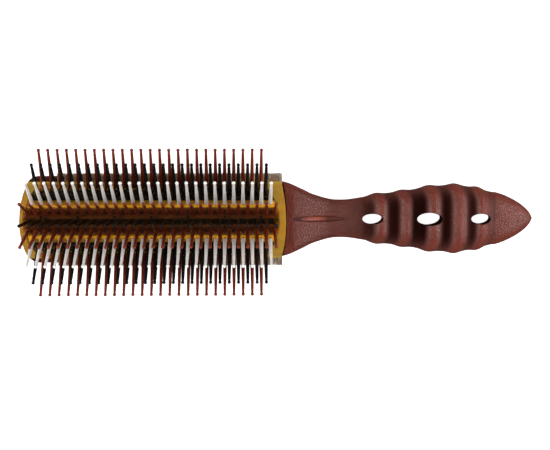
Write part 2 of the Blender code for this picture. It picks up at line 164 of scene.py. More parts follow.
def add_bmesh(name, bm, material=None):
    bmesh.ops.recalc_face_normals(bm, faces=bm.faces)
    mesh = bpy.data.meshes.new(name)
    bm.to_mesh(mesh)
    bm.free()
    item = bpy.data.objects.new(name, mesh)
    bpy.context.scene.collection.objects.link(item)
    if material:
        mesh.materials.append(material)
    finish_mesh(mesh)
    return item


def apply_modifiers(item):
    """Make the evaluated mesh the object's own, and drop its modifiers."""
    depsgraph = bpy.context.evaluated_depsgraph_get()
    mesh = bpy.data.meshes.new_from_object(item.evaluated_get(depsgraph))
    item.modifiers.clear()
    item.data = mesh
    finish_mesh(mesh)


def cut(item, tool, operation="DIFFERENCE"):
    """Apply one Boolean and remove its tool."""
    modifier = item.modifiers.new("cut", "BOOLEAN")
    modifier.operation = operation
    modifier.object = tool
    modifier.solver = "EXACT"
    apply_modifiers(item)
    bpy.data.objects.remove(tool, do_unlink=True)


def bevel(item, width, angle=40):
    modifier = item.modifiers.new("bevel", "BEVEL")
    modifier.width = width
    modifier.segments = 2
    modifier.limit_method = "ANGLE"
    modifier.angle_limit = math.radians(angle)
    apply_modifiers(item)


def extruded(name, outline, shift, material=None):
    """A solid from one flat closed outline, given as points, moved through shift."""
    bm = bmesh.new()
    face = bm.faces.new([bm.verts.new(point) for point in outline])
    raised = bmesh.ops.extrude_face_region(bm, geom=[face])["geom"]
    moved = [part for part in raised if isinstance(part, bmesh.types.BMVert)]
    bmesh.ops.translate(bm, vec=shift, verts=moved)
    return add_bmesh(name, bm, material)


def swept_section(name, outline, x0, x1, material=None):
    """Sweep one closed outline, given as (y, z) points, from x0 to x1."""
    return extruded(name, [(x0, y, z) for y, z in outline], (x1 - x0, 0, 0), material)


def add_box(bm, x0, x1, y0, y1, z0, z1, matrix=Matrix.Identity(4)):
    size = Matrix.Diagonal((x1 - x0, y1 - y0, z1 - z0, 1.0))
    place = Matrix.Translation(((x0 + x1) / 2, (y0 + y1) / 2, (z0 + z1) / 2))
    bmesh.ops.create_cube(bm, size=1.0, matrix=matrix @ place @ size)


def skin(bm, rings):
    """Close a stack of rings of the same count: a face at each end and four-sided faces between."""
    bm.faces.new(rings[0][::-1])
    for near, far in zip(rings, rings[1:]):
        for i in range(len(near)):
            j = (i + 1) % len(near)
            bm.faces.new((near[i], near[j], far[j], far[i]))
    bm.faces.new(rings[-1])


def add_turned(bm, profile, matrix, sides):
    """A closed turned shape about matrix's local Z, from (radius, height) points, bottom to top."""
    rings = []
    for radius, height in profile:
        ring = []
        for i in range(sides):
            turn = 2 * math.pi * i / sides
            point = Vector((radius * math.cos(turn), radius * math.sin(turn), height))
            ring.append(bm.verts.new(matrix @ point))
        rings.append(ring)
    skin(bm, rings)


def place(item, slot, *nodes):
    """Ride on the brush's one body and stand for CAD nodes. The slot is not used."""
    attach(item, ROOT)
    if nodes:
        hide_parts(*nodes)
    return item


# ---------------------------------------------------------------- materials

class Finish:
    """A new material with its Principled shader and short calls for the nodes that feed it."""

    def __init__(self, name):
        self.material = bpy.data.materials.new(name)
        self.material.use_nodes = True
        self.nodes = self.material.node_tree.nodes
        self.links = self.material.node_tree.links
        self.shader = self.nodes["Principled BSDF"]
        self.output = self.nodes["Material Output"]
        self.coordinates = self.nodes.new("ShaderNodeTexCoord").outputs["Object"]

    def set(self, **values):
        for key, value in values.items():
            self.shader.inputs[key.replace("_", " ")].default_value = value

    def stretched(self, x, y, z):
        mapping = self.nodes.new("ShaderNodeMapping")
        mapping.inputs["Scale"].default_value = (x, y, z)
        self.links.new(self.coordinates, mapping.inputs["Vector"])
        return mapping.outputs["Vector"]

    def axes(self):
        node = self.nodes.new("ShaderNodeSeparateXYZ")
        self.links.new(self.coordinates, node.inputs["Vector"])
        return node.outputs["X"], node.outputs["Y"], node.outputs["Z"]

    def noise(self, size, detail=2.0, vector=None):
        """Noise whose features are about size metres across."""
        node = self.nodes.new("ShaderNodeTexNoise")
        node.inputs["Scale"].default_value = 1.0 / size
        node.inputs["Detail"].default_value = detail
        self.links.new(vector or self.coordinates, node.inputs["Vector"])
        return node.outputs["Fac"]

    def cells(self, size):
        node = self.nodes.new("ShaderNodeTexVoronoi")
        node.inputs["Scale"].default_value = 1.0 / size
        self.links.new(self.coordinates, node.inputs["Vector"])
        return node.outputs["Distance"]

    def spread(self, value, low, high, start=0.3, stop=0.7):
        """Map a value from start..stop to low..high."""
        node = self.nodes.new("ShaderNodeMapRange")
        node.inputs["From Min"].default_value = start
        node.inputs["From Max"].default_value = stop
        node.inputs["To Min"].default_value = low
        node.inputs["To Max"].default_value = high
        self.links.new(value, node.inputs["Value"])
        return node.outputs["Result"]

    def math(self, operation, first, second):
        node = self.nodes.new("ShaderNodeMath")
        node.operation = operation
        for socket, value in zip(node.inputs, (first, second)):
            if isinstance(value, (int, float)):
                socket.default_value = value
            else:
                self.links.new(value, socket)
        return node.outputs["Value"]

    def absolute(self, value):
        return self.math("ABSOLUTE", value, 0)

    def ramp(self, value, *stops):
        """Colours along a value: stops are (position, (r, g, b))."""
        node = self.nodes.new("ShaderNodeValToRGB")
        elements = node.color_ramp.elements
        while len(elements) < len(stops):
            elements.new(0.5)
        for element, (position, colour) in zip(elements, stops):
            element.position = position
            element.color = (*colour, 1.0)
        self.links.new(value, node.inputs["Fac"])
        return node.outputs["Color"]

    def attribute(self, name):
        node = self.nodes.new("ShaderNodeAttribute")
        node.attribute_name = name
        return node.outputs["Fac"]

    def painted_occlusion_shade(self, distance, low, high, darkest):
        """Painted shade from ambient occlusion: 1 on open surface, falling to darkest where walls
        within distance crowd it.
        """
        node = self.nodes.new("ShaderNodeAmbientOcclusion")
        node.samples = 8
        node.only_local = True
        node.inputs["Distance"].default_value = distance
        return self.spread(node.outputs["AO"], darkest, 1.0, low, high)

    def times(self, colour, factor):
        node = self.nodes.new("ShaderNodeVectorMath")
        node.operation = "SCALE"
        self.links.new(colour, node.inputs[0])
        self.links.new(factor, node.inputs["Scale"])
        return node.outputs["Vector"]

    def bump(self, height, depth, strength=1.0):
        node = self.nodes.new("ShaderNodeBump")
        node.inputs["Distance"].default_value = depth
        node.inputs["Strength"].default_value = strength
        self.links.new(height, node.inputs["Height"])
        self.links.new(node.outputs["Normal"], self.shader.inputs["Normal"])

    def feed(self, name, value):
        self.links.new(value, self.shader.inputs[name])


def handle_plastic(name, has_painted_light):
    """Red-brown satin plastic with a fine leather grain, and painted shade where it is closed in.

    On a piece with stored painted light, the painted light and shade of each vertex darkens it
    further, and lightens the lens groove's floor.
    """
    f = Finish(name)
    f.set(IOR=1.5, Specular_IOR_Level=0.4)
    fine = f.noise(0.42 * MM)
    cloud = f.noise(6 * MM, detail=3)
    colour = f.ramp(cloud, (0.30, (0.138, 0.027, 0.017)), (0.70, (0.168, 0.035, 0.022)))
    # Painted shade where walls crowd the surface; on a piece with stored painted light, that is
    # multiplied in as well.
    painted_light = f.painted_occlusion_shade(4 * MM, 0.35, 0.80, 0.25)
    if has_painted_light:
        painted_light = f.math("MULTIPLY", f.attribute("painted_light"), painted_light)
    speckle = f.spread(fine, 0.80, 1.25, 0.35, 0.65)
    f.feed("Base Color", f.times(colour, f.math("MULTIPLY", painted_light, speckle)))
    # Shine and smoothness follow the painted light and shade: dull where it is darkest, and less
    # shine on the brightest crest tops.
    shine = f.spread(painted_light, 0.02, 0.50, 0.10, 0.90)
    f.feed("Specular IOR Level", f.math("MULTIPLY", shine, f.spread(painted_light, 1.0, 0.62, 0.86, 1.04)))
    satin = f.spread(painted_light, 0.80, 0.30, 0.15, 0.85)
    f.feed("Roughness", f.math("ADD", satin, f.spread(fine, -0.05, 0.07)))
    height = f.math("ADD", f.cells(0.55 * MM), f.math("MULTIPLY", fine, 0.6))
    f.bump(height, 0.16 * MM)
    return f.material


def let_lamps_through(f, tint):
    """Lamp rays pass straight through, tinted, so that what is behind the plastic is lit."""
    path = f.nodes.new("ShaderNodeLightPath")
    clear = f.nodes.new("ShaderNodeBsdfTransparent")
    clear.inputs["Color"].default_value = (*tint, 1.0)
    mix = f.nodes.new("ShaderNodeMixShader")
    f.links.new(path.outputs["Is Shadow Ray"], mix.inputs["Fac"])
    f.links.new(f.shader.outputs["BSDF"], mix.inputs[1])
    f.links.new(clear.outputs["BSDF"], mix.inputs[2])
    f.links.new(mix.outputs["Shader"], f.output.inputs["Surface"])


# Where the cover's amber changes, as the start and the end of each change. The crown, shoulder and
# nose changes are painted shade.
# Lengthwise, from the middle of the pin rows:
SOLID_END_CLARITY = (57.8 * MM, 59.2 * MM)
SOLID_END_COLOUR = (57.8 * MM, 59.0 * MM)
# Across, from the middle row:
CROWN_EDGE = (5.8 * MM, 7.2 * MM)
SHOULDER_NEAR_EDGE = (8.8 * MM, 9.8 * MM)
SHOULDER_FAR_EDGE = (13.2 * MM, 14.6 * MM)
# Along X, and up from the table:
NOSE_SHADE = (-119 * MM, -104 * MM)
RIM_CLEARS = (13 * MM, 17.5 * MM)
# How much nearer the middle the solid ends start, for each square metre off centre
WINDOW_ROUNDING = 22.0


def amber_shell():
    """Clear amber plastic of the arched cover. Its rims and its solid ends let less through.

    Painted shade makes the colour darker along the crown, darker still along both shoulders, and
    again at the nose.
    """
    f = Finish("amber_shell")
    f.set(IOR=1.46)
    streaks = f.noise(3 * MM, detail=3, vector=f.stretched(0.25, 1.0, 1.0))
    colour = f.ramp(streaks, (0.3, (0.82, 0.53, 0.070)), (0.7, (0.89, 0.60, 0.095)))
    x, y, z = f.axes()
    beyond = f.absolute(f.math("SUBTRACT", x, ROWS_CENTRE_X))
    rounded = f.math("MULTIPLY", f.math("MULTIPLY", y, y), WINDOW_ROUNDING)
    out = f.math("ADD", beyond, rounded)
    ends = f.spread(out, 1.0, 0.60, *SOLID_END_CLARITY)
    aside = f.absolute(y)
    # Painted shade: darker along the crown, darker still along both shoulders and again at the nose,
    # but not on the solid ends.
    crown = f.spread(aside, 0.64, 1.0, *CROWN_EDGE)
    shoulder = f.math("MAXIMUM", f.spread(aside, 1.0, 0.30, *SHOULDER_NEAR_EDGE),
                      f.spread(aside, 0.0, 1.0, *SHOULDER_FAR_EDGE))
    window_shade = f.math("MULTIPLY", crown, shoulder)
    pale = f.math("MAXIMUM", window_shade, f.spread(out, 0.0, 1.0, *SOLID_END_COLOUR))
    pale = f.math("MULTIPLY", pale, f.spread(x, 0.74, 1.0, *NOSE_SHADE))
    f.feed("Base Color", f.times(colour, pale))
    clear = f.spread(z, 0.40, 1.0, *RIM_CLEARS)
    f.feed("Transmission Weight", f.math("MULTIPLY", ends, clear))
    f.feed("Roughness", f.spread(f.noise(1.2 * MM), 0.08, 0.13))
    f.bump(f.noise(4 * MM), 0.02 * MM, 0.2)
    let_lamps_through(f, (0.95, 0.80, 0.33))
    return f.material


def amber_core():
    """The thick amber of the beam under the strips, with painted shade on its flanks."""
    f = Finish("amber_core")
    f.set(IOR=1.46, Specular_IOR_Level=0.25)
    cloud = f.noise(5 * MM, detail=3)
    colour = f.ramp(cloud, (0.3, (0.210, 0.090, 0.024)), (0.7, (0.290, 0.130, 0.036)))
    _, y, _ = f.axes()
    # Painted shade on the flanks, seen through the gaps between the strips.
    shade = f.spread(f.absolute(y), 1.0, 0.10, 7.0 * MM, 8.5 * MM)
    f.feed("Base Color", f.times(colour, shade))
    f.feed("Roughness", f.spread(f.noise(1.0 * MM), 0.40, 0.55))
    f.bump(f.noise(2.0 * MM), 0.04 * MM, 0.3)
    return f.material


def amber_plate():
    """The orange amber of the two end plates, with the core's webs glowing through as pale lines."""
    f = Finish("amber_plate")
    f.set(IOR=1.46, Specular_IOR_Level=0.4)
    _, y, z = f.axes()
    cloud = f.spread(f.noise(5 * MM, detail=3), 0.0, 0.30)
    upright = f.spread(f.absolute(y), 1.0, 0.0, 0.4 * MM, 0.9 * MM)
    upright = f.math("MULTIPLY", upright, f.spread(z, 1.0, 0.0, 13.2 * MM, 14.4 * MM))
    slope = f.math("ADD", f.math("MULTIPLY", y, WEB_LEAN), f.math("SUBTRACT", z, LEANING_WEB_Z))
    leaning = f.spread(f.absolute(slope), 0.8, 0.0, 0.3 * MM, 0.8 * MM)
    webs = f.math("MAXIMUM", upright, leaning)
    f.feed("Base Color", f.ramp(f.math("ADD", cloud, f.math("MULTIPLY", webs, 0.7)),
                                (0.0, (0.43, 0.125, 0.004)), (0.3, (0.52, 0.17, 0.008)),
                                (1.0, (0.72, 0.32, 0.030))))
    f.feed("Roughness", f.spread(f.noise(1.0 * MM), 0.16, 0.28))
    f.bump(f.noise(2.0 * MM), 0.03 * MM, 0.3)
    return f.material


def nylon(name, dark, light, roughness, specular):
    """Moulded nylon of a pin strip, a little cloudy."""
    f = Finish(name)
    f.set(IOR=1.53, Specular_IOR_Level=specular)
    cloud = f.noise(1.6 * MM)
    f.feed("Base Color", f.ramp(cloud, (0.3, dark), (0.7, light)))
    f.feed("Roughness", f.spread(f.noise(0.5 * MM), roughness - 0.06, roughness + 0.06))
    f.bump(f.noise(0.6 * MM), 0.01 * MM, 0.2)
    return f.material


def bristle_hair():
    """Grey-brown hair, each one a little lighter or darker."""
    f = Finish("bristle_hair")
    f.set(IOR=1.5)
    hair = f.nodes.new("ShaderNodeNewGeometry").outputs["Random Per Island"]
    f.feed("Base Color", f.ramp(hair, (0.0, (0.225, 0.150, 0.106)), (0.35, (0.550, 0.413, 0.312)),
                                (0.7, (0.780, 0.650, 0.530)), (1.0, (0.950, 0.860, 0.760))))
    f.feed("Roughness", f.spread(f.noise(0.4 * MM), 0.4, 0.6))
    f.bump(f.noise(0.15 * MM), 0.01 * MM, 0.4)
    return f.material


def studio_floor():
    """A lit table, white enough to fill the picture with no shadow to speak of."""
    f = Finish("studio_floor")
    f.feed("Base Color", f.ramp(f.noise(0.4), (0.0, (0.80, 0.80, 0.80)), (1.0, (0.84, 0.84, 0.84))))
    f.set(Roughness=0.9, Emission_Color=(1, 1, 1, 1), Emission_Strength=1.0)
    return f.material


# ---------------------------------------------------------------- barrel outlines

def arch(radius, half_angle, steps):
    """A true arc about the barrel's axis, from the +Y side to the -Y side."""
    points = []
    for i in range(steps + 1):
        angle = half_angle * (2 * i / steps - 1)
        points.append((-radius * math.sin(angle), AXIS_Z + radius * math.cos(angle)))
    return points


def mirrored(points):
    return [(-y, z) for y, z in reversed(points)]


def rim_arc(radius, stop):
    """Round the lower corner of the +Y rim, from straight down, outwards through stop degrees."""
    points = []
    for i in range(RIM_STEPS + 1):
        angle = math.radians(stop * i / RIM_STEPS)
        y = RIM_CENTRE_Y + radius * math.sin(angle)
        points.append((y, RIM_BOTTOM + RIM_RADIUS - radius * math.cos(angle)))
    return points


def shell_outline():
    lip = KEY_HALF_WIDTH + FIT_GAP
    reach = ROW_COUNT / 2 * ROW_STEP
    inner = arch(SHELL_INNER + 0.08 * MM, reach, 54)
    ledge = [inner[0], (lip, inner[0][1] - 1.0 * MM), (lip, RIM_BOTTOM)]
    rim = rim_arc(RIM_RADIUS, 108)
    outer = arch(SHELL_OUTER, reach, 72)
    return ledge[1:] + rim + outer + mirrored(rim) + mirrored(ledge[1:]) + inner[::-1]


def core_outline():
    half = KEY_HALF_WIDTH
    reach = math.asin(half / CORE_ROOF)
    floor = CHANNEL_FLOOR + FIT_GAP
    return [(half, floor)] + arch(CORE_ROOF, reach, 40) + [(-half, floor)]


def bow(y, depth):
    """How far the barrel's bowed end falls back from its middle at distance y off centre."""
    return depth * (y / BODY_HALF_WIDTH) ** 2


def plan_block(grow=0.0):
    """A tall block whose plan is the barrel's: straight sides and two bowed ends."""
    half = 24 * MM
    bottom = -10 * MM
    height = 60 * MM
    steps = 48
    nose = []
    tail = []
    for i in range(steps + 1):
        y = half * (1 - 2 * i / steps)
        nose.append((NOSE_X - grow + bow(y, NOSE_BOW), y))
        tail.append((TAIL_X + grow - bow(-y, TAIL_BOW), -y))
    return extruded("plan_block", [(x, y, bottom) for x, y in nose + tail], (0, 0, height))


# ---------------------------------------------------------------- pins and their strips

def row_angle(row):
    """Lean of a row from upright, positive towards +Y. Rows count from 0."""
    return ((ROW_COUNT - 1) / 2 - row) * ROW_STEP


def row_matrix(row):
    return Matrix.Translation((0, 0, AXIS_Z)) @ Matrix.Rotation(-row_angle(row), 4, "X")


def row_positions(row):
    """Places of a row's pins along X, from the length of its CAD strip."""
    low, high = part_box(f"pin_strip_{row + 1}")
    first = low.x + BAR_END_MARGIN
    count = round((high.x - low.x - 2 * BAR_END_MARGIN) / PIN_PITCH) + 1
    return [first + PIN_PITCH * i for i in range(count)]


def pin_profile(stoutness):
    """A pin from inside its bar to its tip: flared foot, long taper and ball."""
    ball = 0.80 * MM
    neck = 0.56 * MM
    centre = PIN_TIP - ball
    shank = [
        (1.20, BAR_OUTER - 0.35 * MM), (1.09, BAR_OUTER + 0.2 * MM), (1.02, 17.9 * MM),
        (0.99, 19.4 * MM), (0.93, 20.8 * MM), (0.87, 23.0 * MM), (0.80, 27.0 * MM),
        (0.71, 32.0 * MM), (0.60, 37.7 * MM),
    ]
    points = [(radius * stoutness * MM, height) for radius, height in shank]
    start = math.asin(neck / ball)
    for i in range(8):
        angle = start + (math.pi - start) * i / 8
        points.append((ball * math.sin(angle), centre - ball * math.cos(angle)))
    points.append((0.12 * MM, PIN_TIP - 0.01 * MM))
    return points


def make_pin_strip(row, material):
    """A flat bar with softened edges and its row of pins, as one solid."""
    node = f"pin_strip_{row + 1}"
    matrix = row_matrix(row)
    xs = row_positions(row)
    bar = bmesh.new()
    x0 = xs[0] - BAR_END_MARGIN
    x1 = xs[-1] + BAR_END_MARGIN
    colour = ROW_COLOURS[row]
    half = BAR_WIDTHS[row] / 2
    add_box(bar, x0, x1, -half, half, BAR_INNER, BAR_OUTER, matrix)
    strip = add_bmesh(f"strip_{row + 1}", bar, material)
    bevel(strip, BAR_BEVEL)
    pins = bmesh.new()
    profile = pin_profile(PIN_STOUTNESS[colour])
    for x in xs:
        add_turned(pins, profile, matrix @ Matrix.Translation((x, 0, 0)), PIN_SIDES)
    cut(strip, add_bmesh("pins", pins), "UNION")
    return place(strip, PIN_SLOTS[colour], node)


# ---------------------------------------------------------------- barrel pieces

def vent_matrices():
    """Places of the small vents, in a line on each side of the middle row."""
    for lean in (ROW_STEP / 2, -ROW_STEP / 2):
        turned = Matrix.Translation((0, 0, AXIS_Z)) @ Matrix.Rotation(-lean, 4, "X")
        for i in range(VENTS_PER_SIDE):
            away = i - VENTS_PER_SIDE // 2
            yield turned @ Matrix.Translation((ROWS_CENTRE_X + VENT_STEP * away, 0, 0))


def make_vent_shade_sleeves(material):
    """Painted shade: a dark sleeve inside each vent, sunk a little below the cover's surface, darkens
    the open vent.
    """
    shade_sleeves = bmesh.new()
    inner = VENT_RADIUS - 0.03 * MM
    sleeve = ((inner, SHELL_INNER + 0.1 * MM), (inner, SHELL_OUTER - 0.2 * MM))
    for matrix in vent_matrices():
        add_turned(shade_sleeves, sleeve, matrix, VENT_SIDES)
    return place(add_bmesh("vent_shade_sleeves", shade_sleeves, material), "black_nylon")


def make_shell(material):
    """The arched cover: bowed ends, softened edges, a countersunk hole per pin and small vents."""
    under = SHELL_INNER - HOLE_OVERCUT
    over = SHELL_OUTER + HOLE_OVERCUT
    shell = swept_section("barrel_cover", shell_outline(), NOSE_X - MM, TAIL_X + MM, material)
    cut(shell, plan_block(), "INTERSECT")
    bevel(shell, SHELL_BEVEL, END_BEVEL_ANGLE)
    holes = bmesh.new()
    for row in range(ROW_COUNT):
        matrix = row_matrix(row)
        radius = PIN_HOLE_RADIUS * PIN_STOUTNESS[ROW_COLOURS[row]]
        countersink = (
            (radius, under),
            (radius, SHELL_OUTER - 0.9 * COUNTERSINK),
            (radius + COUNTERSINK, SHELL_OUTER + 0.1 * COUNTERSINK),
            (radius + COUNTERSINK, over),
        )
        for x in row_positions(row):
            add_turned(holes, countersink, matrix @ Matrix.Translation((x, 0, 0)), HOLE_SIDES)
    for matrix in vent_matrices():
        add_turned(holes, ((VENT_RADIUS, under), (VENT_RADIUS, over)), matrix, VENT_SIDES)
    cut(shell, add_bmesh("pin_holes", holes))
    return place(shell, "amber_plastic", "barrel_shell")


def make_plate(name, node, x0, x1, material):
    plate = swept_section(name, core_outline(), x0, x1, material)
    cut(plate, plan_block(), "INTERSECT")
    bevel(plate, PLATE_BEVEL, END_BEVEL_ANGLE)
    return place(plate, "amber_plastic", node)


# ---------------------------------------------------------------- bristles

def add_bristle(bm, points, radius):
    """One four-sided hair through three points, tapering to its tip."""
    rings = []
    along = (points[-1] - points[0]).normalized()
    side = along.cross(Vector((0, 0, 1))).normalized()
    up = side.cross(along)
    for share, point in zip((1.0, 0.85, 0.45), points):
        reach = radius * share
        offsets = (side, up, -side, -up)
        rings.append([bm.verts.new(point + offset * reach) for offset in offsets])
    skin(bm, rings)


def make_bristles(name, node, side, material):
    """Short hair in small tufts: each tuft is pinched at the rail and fans out at its tips."""
    low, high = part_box(node)
    root_y = min(abs(low.y), abs(high.y))
    tip_y = max(abs(low.y), abs(high.y))
    run = high.x - low.x - 2 * PACK_MARGIN
    count = round(run / TUFT_STEP)
    bm = bmesh.new()
    for tuft in range(count + 1):
        centre = low.x + PACK_MARGIN + run * tuft / count
        lean = rng.uniform(-TUFT_LEAN, TUFT_LEAN)
        for _ in range(HAIRS_PER_TUFT):
            u = rng.uniform(-1, 1)
            v = rng.uniform(0, 1)
            x0 = centre + u * HAIR_ROOT_SPREAD
            wander = rng.uniform(-HAIR_TIP_WANDER, HAIR_TIP_WANDER)
            x1 = centre + u * HAIR_TIP_SPREAD + lean + wander
            x1 = min(max(x1, low.x + HAIR_END_GAP), high.x - HAIR_END_GAP)
            reach = tip_y - rng.uniform(*HAIR_SHORTFALL) * (0.4 + 0.6 * rng.random())
            z0 = HAIR_ROOT_Z[0] + v * HAIR_ROOT_Z[1]
            wander = rng.uniform(-HAIR_RISE_WANDER, HAIR_RISE_WANDER)
            z1 = HAIR_TIP_Z[0] + v * HAIR_TIP_Z[1] + wander
            middle_y = (root_y + reach) / 2
            middle_z = z0 + (z1 - z0) * HAIR_MIDDLE_RISE
            points = [
                Vector((x0, side * root_y, z0)),
                Vector(((x0 + x1) / 2, side * middle_y, middle_z)),
                Vector((x1, side * reach, z1)),
            ]
            add_bristle(bm, points, rng.uniform(*HAIR_RADII))
    pack = add_bmesh(name, bm, material)
    return place(pack, "bristle", node)


# ---------------------------------------------------------------- handle

def smooth(points, x):
    """A smooth curve through a few (x, value) points, flat beyond both ends."""
    if x <= points[0][0]:
        return points[0][1]
    if x >= points[-1][0]:
        return points[-1][1]
    slopes = [0.0]
    for before, here, after in zip(points, points[1:], points[2:]):
        rise = (after[1] - before[1]) / (after[0] - before[0])
        turns = (here[1] - before[1]) * (after[1] - here[1]) <= 0
        slopes.append(0.0 if turns else rise)
    slopes.append(0.0)
    i = next(n for n, after in enumerate(points[1:]) if x <= after[0])
    x0, v0 = points[i]
    x1, v1 = points[i + 1]
    h = x1 - x0
    t = (x - x0) / h
    rise = t * t * (3 - 2 * t)
    leave = t * (1 - t) ** 2
    arrive = -t * t * (1 - t)
    return v0 + (v1 - v0) * rise + h * (slopes[i] * leave + slopes[i + 1] * arrive)


def in_mm(*pairs):
    return tuple((x * MM, v * MM) for x, v in pairs)


HALF_WIDTH = in_mm((-22, 20.4), (1.7, 17.6), (10.8, 13.9), (15.1, 11.8), (23.7, 9.3),
                   (29.3, 8.95), (39.4, 10.2), (46.8, 11.6), (58.4, 13.0), (71.2, 15.2),
                   (82.8, 15.9), (93.8, 14.3), (102.0, 12.5))
TOP = in_mm((-10, 12.1), (5, 12.1), (10, 11.3), (15, 10.1), (20, 9.2), (26, 8.9), (32, 9.1),
            (40.8, 10.7), (53, 12.0), (66, 12.7), (79, 13.0), (91, 12.6), (102, 11.6))
BOTTOM = in_mm((-4, 0), (29, 1.2), (50, 1.2), (80, 1.2), (102, 2.4))
TOP_FLAT = in_mm((-20, 18.2), (3, 14.0), (29, 3.0), (80, 4.0), (96, 3.6), (104, 4.4), (114, 1.4),
                 (120, 0.3))
BOTTOM_FLAT = in_mm((-20, 11.0), (29, 3.0), (80, 5.0), (102, 3.0), (120, 0.1))
SIDE_LOW = in_mm((-20, 7.5), (29, 5.8), (80, 7.2), (120, 6.9))
SIDE_HIGH = in_mm((-20, 9.6), (29, 6.8), (80, 8.2), (120, 7.1))


def ridge_wave(x):
    """0 in a valley of the grip and 1 on a crest, as a plain wave."""
    for start, stop in zip(VALLEYS, VALLEYS[1:]):
        if start <= x <= stop:
            return math.sin(math.pi * (x - start) / (stop - start)) ** 2
    return 0.0


def ridge(x):
    """Height of the grip's ridges from 0 to 1: broad crests over a narrower, soft valley floor."""
    soft = 0.05
    power = 0.58
    base = soft ** power
    return ((ridge_wave(x) + soft) ** power - base) / ((1 + soft) ** power - base)


def tip_run(x):
    """0 up to the start of the pointed tip and 1 at its end."""
    return min(1.0, max(0.0, (x - TIP_START) / (TIP_X - TIP_START)))


def tip_thinning(x):
    return max(0.12, max(0.0, 1 - tip_run(x) ** 2.2) ** 0.6)


def half_width(x):
    if x < TRAY_NOSE + TRAY_CORNER:
        back = 1 - (x - TRAY_NOSE) / TRAY_CORNER
        spread = TRAY_HALF_WIDTH - TRAY_FRONT_HALF
        return TRAY_FRONT_HALF + spread * math.sqrt(max(0.0, 1 - back * back))
    if x > TIP_START:
        return max(0.6 * MM, TIP_HALF_WIDTH * max(0.0, 1 - tip_run(x) ** 1.25) ** 0.6)
    return smooth(HALF_WIDTH, x)


def nose_lift(x):
    """The fillet under the tray's nose."""
    if x > TRAY_NOSE + TRAY_FILLET:
        return 0.0
    back = 1 - (x - TRAY_NOSE) / TRAY_FILLET
    return TRAY_FILLET * (1 - math.sqrt(max(0.0, 1 - back * back)))


def handle_ring(x):
    """One closed section of the handle: flat top and bottom joined by quarter ellipses."""
    wide = half_width(x)
    scale = min(1.0, wide / smooth(HALF_WIDTH, x))
    top_flat = smooth(TOP_FLAT, x) * scale
    bottom_flat = smooth(BOTTOM_FLAT, x) * scale
    low = smooth(SIDE_LOW, x)
    high = smooth(SIDE_HIGH, x)
    middle = (low + high) / 2
    thin = tip_thinning(x)
    top = middle + (smooth(TOP, x) - middle) * thin
    bottom = middle + (smooth(BOTTOM, x) - middle) * thin + nose_lift(x)
    low = middle + (low - middle) * thin
    high = middle + (high - middle) * thin
    side = []
    for i in range(RING_FLAT_STEPS):
        side.append((0.0, bottom_flat * i / RING_FLAT_STEPS, bottom, -1))
    for i in range(RING_CORNER_STEPS + 1):
        angle = math.pi / 2 * i / RING_CORNER_STEPS
        y = bottom_flat + (wide - bottom_flat) * math.sin(angle)
        side.append((angle, y, low - (low - bottom) * math.cos(angle), -1))
    for i in range(RING_CORNER_STEPS + 1):
        angle = math.pi / 2 * (1 - i / RING_CORNER_STEPS)
        y = top_flat + (wide - top_flat) * math.sin(angle)
        side.append((angle, y, high + (top - high) * math.cos(angle), 1))
    for i in range(RING_FLAT_STEPS):
        side.append((0.0, top_flat * (1 - (i + 1) / RING_FLAT_STEPS), top, 1))
    ring = []
    for angle, y, z, up in side:
        sweep = RIDGE_SWEEP * math.sin(angle) ** 4
        swell = ridge(x + sweep) * thin
        rise = RIDGE_HEIGHT if up > 0 else RIDGE_UNDER_HEIGHT
        y += RIDGE_SIDE_HEIGHT * swell ** 2 * math.sin(angle)
        z += up * rise * swell * math.cos(angle) ** 0.8
        ring.append((x, y, z))
    return ring + [(px, -py, pz) for px, py, pz in reversed(ring[1:-1])]


# The tone is painted light and shade: painted shade in the grip's valleys and holes, in the neck's
# dip and on the tray towards the nose, a painted highlight on the lens groove's floor, and crests and
# neck a little lighter.
# The handle's tone: a factor on its colour and shine. It is about 1 on open crests and
# falls towards 0 in the valleys and holes.
NECK_TONE = tuple((x * MM, painted_light) for x, painted_light in (
    (-90, 0.22), (-40, 0.50), (-4, 1.1), (6, 1.1), (13, 1.0), (18, 0.95), (25, 0.70), (32, 0.60),
    (38, 0.42), (40.8, 0.22),
))
VALLEY_TONE = (0.22, 0.10, 0.07, 0.07, 0.12, 0.55)
RIDGE_TONE_EDGES = ((0.25, 0.05), (0.05, 0.33), (0.15, 0.02), (-0.08, -0.09), (-0.06, -0.22))
TONE_RISE = 0.95
CREST_TONE = 1.06
TIP_TONE_RUN = 3.4 * MM
HOLE_TONE = 0.04
HOLE_TONE_MARGIN = 1.8 * MM
HOLE_TONE_LOW = 3 * MM
HOLE_TONE_DEPTH = 0.9 * MM
LENS_TONE = (0.6, 1.9)
LENS_TONE_LENGTH = 0.9
LENS_TONE_HALF_WIDTH = 0.95 * MM
LENS_TONE_DEPTHS = (0.35 * MM, 8 * MM)
LENS_PAINTED_HIGHLIGHT = (16.0 * MM, 6.0 * MM)
SIDE_FADE = 0.6
UNDER_FADE = 0.45


def painted_light_along(x):
    """The painted light and shade on the centreline at x."""
    if x <= VALLEYS[0]:
        return smooth(NECK_TONE, x)
    for ridge_number, (start, stop) in enumerate(zip(VALLEYS, VALLEYS[1:])):
        if x <= stop:
            side = 0 if x < (start + stop) / 2 else 1
            valley = VALLEY_TONE[ridge_number + side]
            edge = RIDGE_TONE_EDGES[ridge_number][side]
            rise = min(1.0, max(0.0, (ridge_wave(x) - edge) / TONE_RISE))
            return valley + (CREST_TONE - valley) * rise * rise * (3 - 2 * rise)
    run = min(1.0, (x - VALLEYS[-1]) / TIP_TONE_RUN)
    return VALLEY_TONE[-1] + (1 - VALLEY_TONE[-1]) * run * run * (3 - 2 * run)


